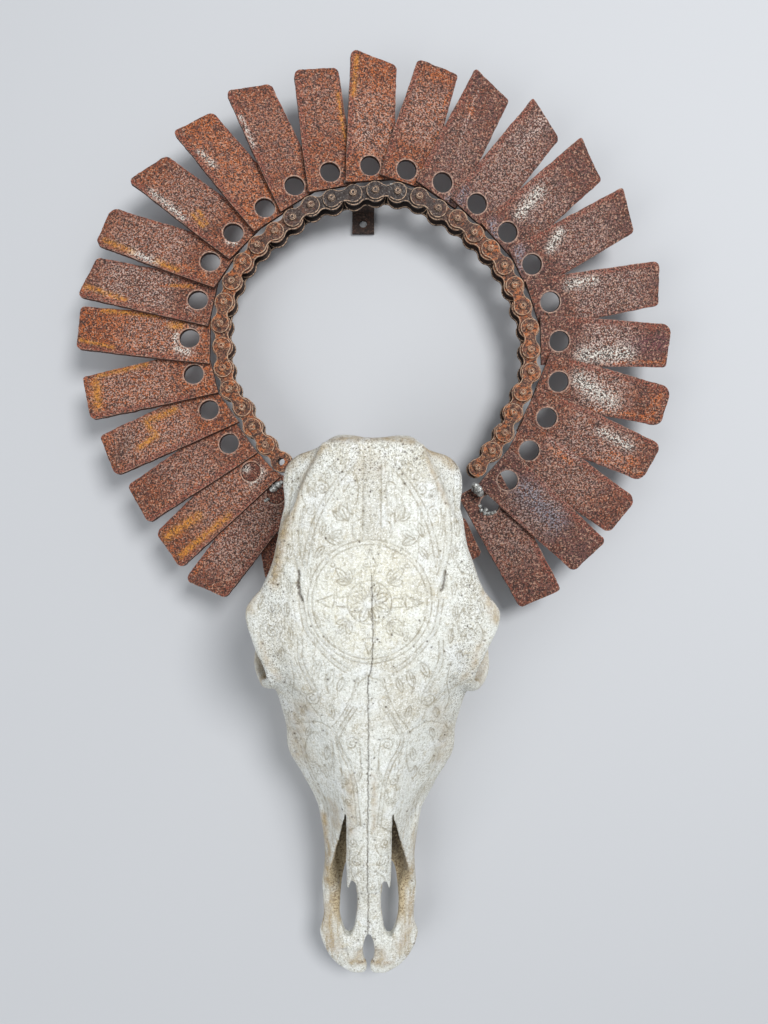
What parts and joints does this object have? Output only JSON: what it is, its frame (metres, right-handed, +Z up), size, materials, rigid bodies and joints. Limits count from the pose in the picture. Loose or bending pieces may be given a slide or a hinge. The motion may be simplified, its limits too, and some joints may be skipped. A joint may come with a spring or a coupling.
{
  "type": "carved cow skull",
  "caption": "Cow skull with carved scrollwork, backed by a round halo of overlapping rusted steel blades fixed to an open ring of roller chain.",
  "frame": {"origin": "middle of the bounding box at the level of the surface it lies on", "axes": "+Z up, out of the face of the skull; +Y from the nose towards the top of the halo; +X to the right in the front view"},
  "size_m": [0.5099, 0.8005, 0.1491],
  "materials": {
    "bone": "weathered dry bone, matt",
    "blade_steel": "rusted flat steel with flaked old paint",
    "chain_steel": "rusted roller chain"
  },
  "bodies": {
    "root": {"skull": "bone", "hanging_tab": "chain_steel", "rear_blade_left": "blade_steel", "rear_blade_right": "blade_steel", "blade_00": "blade_steel", "blade_01": "blade_steel", "blade_02": "blade_steel", "blade_03": "blade_steel", "blade_04": "blade_steel", "blade_05": "blade_steel", "blade_06": "blade_steel", "blade_07": "blade_steel", "blade_08": "blade_steel", "blade_09": "blade_steel", "blade_10": "blade_steel", "blade_11": "blade_steel", "blade_12": "blade_steel", "blade_13": "blade_steel", "blade_14": "blade_steel", "blade_15": "blade_steel", "blade_16": "blade_steel", "blade_17": "blade_steel", "blade_18": "blade_steel", "blade_19": "blade_steel", "blade_20": "blade_steel", "blade_21": "blade_steel", "blade_22": "blade_steel", "blade_23": "blade_steel", "blade_24": "blade_steel", "chain_links_00": "chain_steel", "chain_links_01": "chain_steel", "chain_links_02": "chain_steel", "chain_links_03": "chain_steel", "chain_links_04": "chain_steel", "chain_links_05": "chain_steel", "chain_links_06": "chain_steel", "chain_links_07": "chain_steel", "chain_links_08": "chain_steel", "chain_links_09": "chain_steel", "chain_links_10": "chain_steel", "chain_links_11": "chain_steel", "chain_links_12": "chain_steel", "chain_links_13": "chain_steel", "chain_links_14": "chain_steel", "chain_links_15": "chain_steel", "chain_links_16": "chain_steel"}
  },
  "joints": []
}
